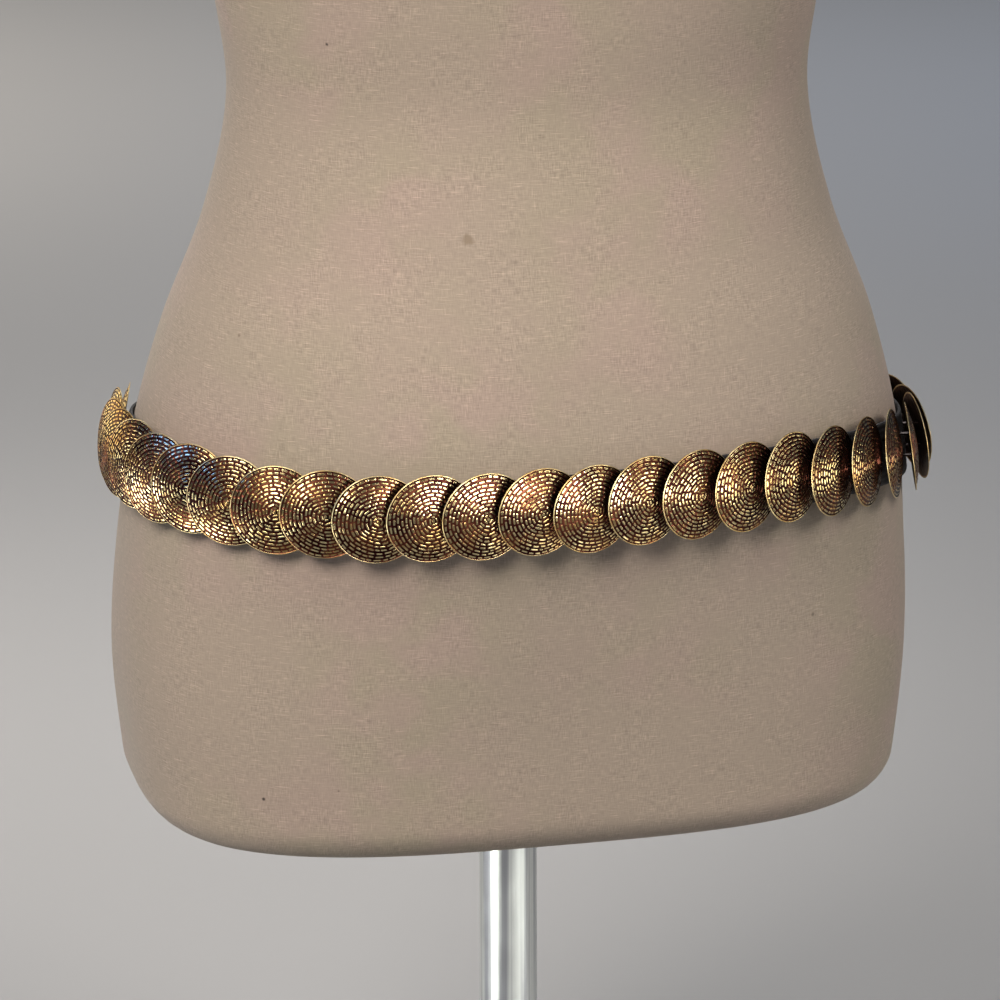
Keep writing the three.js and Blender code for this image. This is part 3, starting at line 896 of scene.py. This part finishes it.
def stamped_disc():
    """One disc about +Z: points, faces, each point's wear, and which faces are back and smooth."""
    rng = np.random.default_rng(SEED)
    points, relief, faces = [], [], []

    def add_row(radii, angles, heights, wears):
        start = len(points)
        for r, a, z, wear in np.broadcast(radii, angles, heights, wears):
            points.append((r * math.cos(a), r * math.sin(a), z))
            relief.append(wear)
        return list(range(start, len(points)))

    boss_angles = circle(BOSS_COLUMNS)
    crown = add_row(0.0, 0.0, dome(0.0), WEAR_CROWN)
    boss = add_row(BOSS_RADIUS, boss_angles, dome(BOSS_RADIUS), WEAR_BOSS)
    faces += zipper(crown * BOSS_COLUMNS, boss_angles, boss, boss_angles)
    previous, previous_angles = boss, boss_angles
    for number in range(RING_COUNT):
        radii, pitch, angles, lifts, leans, wear = dash_ring(rng, number)
        rows = []
        for offset, across, worn_across in zip(DASH_ROWS, DASH_ACROSS, WEAR_ACROSS):
            r = radii + offset * pitch
            lift = lifts * across * (1 + leans * np.sign(offset))
            heights = dome(r) - DASH_DEPTH * (1 - lift)
            rows.append(add_row(r, angles, heights, wear * worn_across))
        faces += zipper(previous, previous_angles, rows[0], angles)
        for row_a, row_b in zip(rows, rows[1:]):
            faces += strip(row_a, row_b)
        previous, previous_angles = rows[-1], angles

    dash_faces = len(faces)
    rim_angles = circle(RIM_COLUMNS)
    lip = [(r * MM, dome(r * MM) + rise * MM, wear) for r, rise, wear in LIP_OVER_DOME]
    lip += [(r * MM, rise * MM, wear) for r, rise, wear in LIP_OVER_PLANE]
    rows = [add_row(r, rim_angles, z, wear) for r, z, wear in lip]
    faces += zipper(previous, previous_angles, rows[0], rim_angles)
    for row_a, row_b in zip(rows, rows[1:]):
        faces += strip(row_a, row_b)

    front_faces = len(faces)
    last = rows[-1]
    for share in BACK_SHARES:
        r = BACK_RADIUS * share
        row = add_row(r, rim_angles, max(dome(r, DISC_SHEET), 0.0), 1.0)
        faces += strip(last, row)
        last = row
    middle = add_row(0.0, 0.0, dome(0.0, DISC_SHEET), 1.0)[0]
    faces += [(last[i], middle, last[(i + 1) % RIM_COLUMNS]) for i in range(RIM_COLUMNS)]

    kept = [index for index, face in enumerate(faces) if len(set(face)) > 2]
    faces = [faces[index] for index in kept]
    back = np.array(kept) >= front_faces
    smooth = np.array(kept) >= dash_faces
    return np.array(points), faces, np.array(relief), back, smooth


def discs(front, plain):
    """All the discs, each in its own place, stamped by one die and turned by chance when set.

    The faces of the dashes are flat, so that each dash mirrors one part of the room.
    """
    rng = np.random.default_rng(SEED + 1)
    points, faces, relief, back, smooth = stamped_disc()
    pieces = []
    for index in range(DISC_COUNT):
        place, axes = disc_frame(index)
        turn = np.array(Matrix.Rotation(rng.uniform(0, 2 * math.pi), 3, "Z"))
        world = points @ turn.T @ np.array(axes).T + np.array(place)
        number = f"{index + 1:02d}"
        name = f"stamped_disc_{number}"
        piece = mesh_object(name, world, faces, [front, plain], {"relief": relief})
        piece.data.polygons.foreach_set("material_index", back.astype(np.int32))
        piece.data.polygons.foreach_set("use_smooth", smooth)
        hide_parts(f"disc_{number}")
        pieces.append(piece)
    return pieces


def prong_path():
    """The middle line of one prong, as pairs: towards the other prong, and out from the form."""
    inner_face = -(DISC_LIFT + BAND_THICKNESS)
    depth = inner_face - PRONG_CLEARANCE
    line = [(0.0, PRONG_TOP), (0.0, inner_face / 2)]
    line.append((0.0, inner_face + PRONG_BEND * PRONG_BEND_START))
    for degrees in PRONG_BEND_DEGREES:
        turn = math.radians(degrees)
        line.append((
            PRONG_BEND * (1 - math.cos(turn)),
            depth + PRONG_BEND * (1 - math.sin(turn)),
        ))
    line.append((PRONG_BEND * PRONG_BEND_END, depth))
    line.append((PRONG_TAIL, depth + PRONG_TIP_RISE))
    return line


def prongs(material):
    """Two prongs for each disc, all in one mesh, bent towards each other behind the band."""
    points, faces, clinch = [], [], []
    line = prong_path()
    for index in range(DISC_COUNT):
        place, axes = disc_frame(index)
        upright = axes @ Matrix.Rotation(-DISC_TILT, 3, "Y")
        for side in (-1, 1):
            rows = []
            for k, (inwards, depth) in enumerate(line):
                ahead = line[min(k + 1, len(line) - 1)]
                behind = line[max(k - 1, 0)]
                run = Vector((ahead[0] - behind[0], ahead[1] - behind[1])).normalized()
                half = PRONG_WIDTH / 2 * (PRONG_TIP_WIDTH if k == len(line) - 1 else 1.0)
                row = []
                for wide, thick in ((-1, -1), (1, -1), (1, 1), (-1, 1)):
                    v = inwards + thick * PRONG_THICKNESS / 2 * -run.y
                    w = depth + thick * PRONG_THICKNESS / 2 * run.x
                    local = Vector((PRONG_SHIFT + wide * half, side * (PRONG_SPACING / 2 - v), w))
                    row.append(len(points))
                    points.append(tuple(place + upright @ local))
                    # 0 on the leg, which the material colours as a painted shade
                    clinch.append(1.0 if k >= CLINCH_START else 0.0)
                rows.append(row)
            for row_a, row_b in zip(rows, rows[1:]):
                quads = strip(row_a, row_b)
                faces += quads if side > 0 else [face[::-1] for face in quads]
            ends = [rows[0], rows[-1][::-1]]
            faces += [tuple(end) if side > 0 else tuple(end[::-1]) for end in ends]
    clinches = {"clinch": clinch}
    piece = mesh_object("clinched_prongs", points, faces, material, clinches, smooth=False)
    return piece


# Stand

def neck_cap(material):
    """The turned wooden cap on the neck, as oval as the neck."""
    neck_height, half_width, half_depth, _, centre_y, _ = FORM_SECTIONS[-1]
    radius = half_depth * MM
    top = NECK_CAP_THICKNESS
    edge_centre = (radius - NECK_CAP_ROUND, top - NECK_CAP_ROUND)
    foot_centre = (radius - NECK_CAP_FOOT_ROUND, NECK_CAP_FOOT_ROUND)
    edge = rounded(NECK_CAP_ROUND, ROUND_STEPS, edge_centre, 0, 90)
    foot = rounded(NECK_CAP_FOOT_ROUND, NECK_CAP_FOOT_STEPS, foot_centre, -90, 0)
    crown = [(radius * share, top) for share in CAP_TOP_SHARES]
    profile = [(0, 0), (radius * CAP_UNDER_SHARE, 0), *foot, *edge, *crown, (0, top)]
    place = (0, centre_y * MM, FORM_BOTTOM + neck_height * MM + SEAM_GAP)
    stretch = half_width / half_depth
    piece = turned("turned_neck_cap", profile, TURNED_COLUMNS, material, stretch, place)
    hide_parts("neck_cap")
    return piece


def pole(material):
    """The pole, from the base up into the form's socket."""
    low = BASE_THICKNESS + SEAM_GAP
    top = FORM_BOTTOM + SOCKET_DEPTH - SEAM_GAP
    inner = POLE_RADIUS - POLE_CHAMFER
    shaft = [(POLE_RADIUS, low + (top - low) * share) for share in SHAFT_SHARES]
    profile = [(0, low), (inner, low), (POLE_RADIUS, low + POLE_CHAMFER), *shaft]
    profile += [(POLE_RADIUS, top - POLE_CHAMFER), (inner, top), (0, top)]
    piece = turned("chromed_pole", profile, TURNED_COLUMNS, material)
    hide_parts("pole")
    return piece


def pole_collar(material):
    """The collar at the foot of the pole: a grooved ring with a rounded top edge."""
    bore = POLE_RADIUS + SEAM_GAP
    low = BASE_THICKNESS + SEAM_GAP
    top = low + COLLAR_HEIGHT
    edge_centre = (COLLAR_RADIUS - COLLAR_ROUND, top - COLLAR_ROUND)
    edge = rounded(COLLAR_ROUND, COLLAR_ROUND_STEPS, edge_centre, 0, 90)
    floor = COLLAR_RADIUS - GROOVE_DEPTH
    groove_radii = (COLLAR_RADIUS, floor, floor, COLLAR_RADIUS)
    groove = [(radius, low + height) for radius, height in zip(groove_radii, GROOVE_HEIGHTS)]
    profile = [(bore, low), (COLLAR_RADIUS - COLLAR_FOOT_CHAMFER, low)]
    profile += [(COLLAR_RADIUS, low + COLLAR_FOOT_CHAMFER), *groove, *edge]
    profile += [(bore + COLLAR_BORE_CHAMFER, top), (bore, top - COLLAR_BORE_CHAMFER), (bore, low)]
    piece = turned("chromed_collar", profile, TURNED_COLUMNS, material)
    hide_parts("pole_collar")
    return piece


def base_plate(material):
    """The round steel base, with a bevelled top edge."""
    edge_centre = (BASE_RADIUS - BASE_BEVEL, BASE_THICKNESS - BASE_BEVEL)
    edge = rounded(BASE_BEVEL, ROUND_STEPS, edge_centre, 0, 90)
    rings = [(BASE_RADIUS * share, BASE_THICKNESS) for share in BASE_TOP_SHARES]
    profile = [(0, 0), (BASE_RADIUS * BASE_UNDER_SHARE, 0), (BASE_RADIUS - BASE_FOOT_CHAMFER, 0)]
    profile += [(BASE_RADIUS, BASE_FOOT_CHAMFER), *edge, *rings, (0, BASE_THICKNESS)]
    piece = turned("steel_base", profile, BASE_COLUMNS, material)
    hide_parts("base_plate")
    return piece


# Stage

def direction(azimuth, elevation):
    """The unit vector towards an azimuth, 0 in front and turning to +X, and an elevation."""
    return Vector((
        math.sin(azimuth) * math.cos(elevation),
        -math.cos(azimuth) * math.cos(elevation),
        math.sin(elevation),
    ))


def make_camera():
    """A camera at the photograph's viewpoint, turned so that the aim lands on its pixel."""
    towards = direction(CAMERA_AZIMUTH, CAMERA_ELEVATION)
    data = bpy.data.cameras.new("camera")
    data.sensor_width = SENSOR
    data.lens = FOCAL_PIXELS * SENSOR / IMAGE_SIZE
    data.clip_start, data.clip_end = CAMERA_CLIP
    camera = bpy.data.objects.new("camera", data)
    bpy.context.scene.collection.objects.link(camera)
    yaw = math.atan((AIM_PIXEL[0] - IMAGE_SIZE / 2) / FOCAL_PIXELS)
    pitch = math.atan((AIM_PIXEL[1] - IMAGE_SIZE / 2) / FOCAL_PIXELS)
    base = (-towards).to_track_quat("-Z", "Y")
    turn = Euler((pitch, yaw, 0), "YXZ").to_quaternion()
    roll = Euler((0, 0, -CAMERA_ROLL), "XYZ").to_quaternion()
    camera.rotation_mode = "QUATERNION"
    camera.location = AIM + towards * CAMERA_DISTANCE
    camera.rotation_quaternion = base @ turn @ roll
    bpy.context.scene.camera = camera


# Lights that face the belt: name, azimuth, elevation, distance, width, height, the brightness of
# the face, beam in degrees, and colour
LIGHTS = (
    ("key", -42, 36, 2.0, 0.8, 0.8, 23, 60, (1.0, 0.94, 0.88)),
    ("fill", 48, 34, 2.2, 0.9, 0.9, 9.5, 60, (1.0, 0.95, 0.90)),
    ("back", 172, 42, 2.6, 1.2, 0.9, 9, 70, (1.0, 0.97, 0.94)),
)
# The same for cards, which light no cloth: they are the windows and walls that the metal mirrors
CARDS = (
    ("card_front", 13, -3, 0.85, 0.42, 0.24, 20.0, 170, (1.0, 0.98, 0.92)),
    ("card_front_left", -32, 2, 1.00, 0.24, 0.24, 14.0, 170, (1.0, 0.99, 0.84)),
    ("card_front_right", 46, -5, 0.85, 0.18, 0.22, 10.0, 170, (1.0, 0.96, 0.80)),
    ("card_left", -102, -16, 0.80, 0.25, 0.20, 13.0, 170, (1.0, 1.0, 0.96)),
    ("card_floor_left", -70, -30, 0.75, 0.26, 0.14, 15.0, 170, (0.98, 1.0, 0.90)),
    ("card_floor_right", 44, -46, 0.60, 0.30, 0.10, 3.5, 170, (1.0, 1.0, 0.92)),
    ("card_blue", -80, 18, 1.20, 0.28, 0.18, 13.0, 170, (0.12, 0.30, 1.0)),
    ("card_right", 79, -8, 1.00, 0.40, 0.16, 6.0, 170, (1.0, 0.92, 0.70)),
    ("card_back_left", -145, 2, 1.60, 1.10, 0.60, 2.4, 170, (1.0, 0.78, 0.42)),
)
# Lights for the floor: name, place, the point that they face, then as above from the width on
FLOOR_LIGHTS = (
    ("overhead", (0.0, 2.4, 4.5), (0.0, 2.4, 0.0), 4.0, 4.0, 0.7, 170, (0.94, 0.97, 1.0)),
    ("backdrop_far", (-1.1, 2.9, 1.3), (0.0, 2.6, 0.0), 0.8, 0.8, 16, 110, (1.0, 0.89, 0.74)),
    ("backdrop_near", (-1.2, 1.0, 1.0), (-0.10, 1.0, 0.0), 0.7, 0.7, 12, 60, (1.0, 0.93, 0.86)),
    ("backdrop_cool", (1.6, 2.6, 1.6), (0.8, 2.2, 0.0), 0.8, 0.8, 4, 100, (0.42, 0.62, 1.0)),
)


def soft_box(name, place, target, width, height, brightness, beam, colour):
    """A rectangular soft light that the camera doesn't see.

    A narrowed beam keeps its energy and makes the face brighter, so the energy is cut by as much.
    """
    half = math.radians(beam) / 2
    data = bpy.data.lights.new(name, "AREA")
    data.shape = "RECTANGLE"
    data.size, data.size_y = width, height
    data.energy = brightness * math.pi * width * height * (1 - half / math.tan(half))
    data.spread = 2 * half
    data.color = colour
    light = bpy.data.objects.new(name, data)
    light.location = place
    light.rotation_mode = "QUATERNION"
    light.rotation_quaternion = (target - place).to_track_quat("-Z", "Y")
    light.visible_camera = False
    bpy.context.scene.collection.objects.link(light)
    return light


def make_lights():
    """The lights, the cards, and the faint sky that fills the shadows."""
    for table, lights_cloth in ((LIGHTS, True), (CARDS, False)):
        for name, azimuth, elevation, distance, *rest in table:
            towards = direction(math.radians(azimuth), math.radians(elevation))
            light = soft_box(name, AIM + towards * distance, AIM, *rest)
            light.visible_diffuse = lights_cloth
    for name, place, target, *rest in FLOOR_LIGHTS:
        soft_box(name, Vector(place), Vector(target), *rest)
    world = bpy.data.worlds.new("studio")
    world.use_nodes = True
    background = world.node_tree.nodes["Background"]
    background.inputs["Color"].default_value = (*WORLD_COLOUR, 1)
    background.inputs["Strength"].default_value = WORLD_STRENGTH
    bpy.context.scene.world = world
    bpy.context.scene.view_settings.view_transform = "Standard"


def make_floor():
    """A wide round floor."""
    points = [(0, 0, 0)]
    rows = []
    for radius in FLOOR_RADII:
        rows.append(list(range(len(points), len(points) + FLOOR_COLUMNS)))
        points += [(radius * math.cos(a), radius * math.sin(a), 0) for a in circle(FLOOR_COLUMNS)]
    faces = [(0, i, j) for i, j in zip(rows[0], rows[0][1:] + rows[0][:1])]
    for row_a, row_b in zip(rows, rows[1:]):
        faces += strip(row_a, row_b)
    mesh_object("floor", points, faces, floor_finish())


def build():
    """The stage, and every piece on the part's one body."""
    make_camera()
    make_lights()
    make_floor()
    chrome_finish = chrome()
    form = form_cover(linen())
    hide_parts("dress_form")
    band = stretch_band(elastic())
    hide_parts("stretch_band")
    pieces = [form, band, prongs(prong_steel())]
    pieces += discs(antique_gold(), disc_back())
    pieces += [neck_cap(varnished_wood()), pole(chrome_finish), pole_collar(chrome_finish)]
    pieces.append(base_plate(base_paint()))
    for piece in pieces:
        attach(piece, "root")


build()
